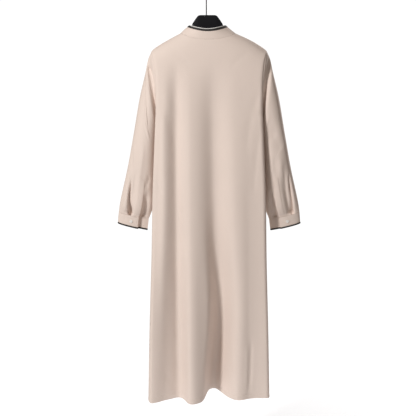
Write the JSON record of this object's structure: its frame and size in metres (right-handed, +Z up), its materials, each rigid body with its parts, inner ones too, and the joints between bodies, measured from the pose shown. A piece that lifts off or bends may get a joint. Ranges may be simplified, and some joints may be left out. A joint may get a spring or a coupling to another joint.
{
  "type": "thobe robe on hanger",
  "caption": "Long plain thobe robe with a bound stand collar, hanging flat on a plastic hanger, seen from its back.",
  "frame": {"origin": "inside top of the hanger's hook, where it bears on a rail", "axes": "+Z up along the hook's stem, +Y out of the garment's back, +X towards the wearer's left"},
  "size_m": [0.7188, 0.2523, 1.5993],
  "materials": {
    "robe_cloth": "matte fine twill, pale apricot beige",
    "black_binding": "matte black woven tape",
    "white_piping": "matte white cord piping",
    "pearl_button": "pearly white",
    "hanger_plastic": "black moulded, semi-gloss",
    "hook_wire": "black coated wire"
  },
  "bodies": {
    "root": {"back": "robe_cloth", "front": "robe_cloth", "front_strip": "robe_cloth", "sleeve_left": "robe_cloth", "sleeve_right": "robe_cloth", "sleeve_placket_left": "robe_cloth", "sleeve_placket_right": "robe_cloth", "cuff_left": "robe_cloth", "cuff_right": "robe_cloth", "collar": "robe_cloth", "cuff_binding_left": "black_binding", "cuff_binding_right": "black_binding", "collar_binding": "black_binding", "collar_piping": "white_piping", "cuff_button_left": "pearl_button", "cuff_button_right": "pearl_button", "collar_button": "pearl_button", "front_button_1": "pearl_button", "front_button_2": "pearl_button", "front_button_3": "pearl_button", "hanger_body": "hanger_plastic", "hanger_hook": "hook_wire"}
  },
  "joints": []
}
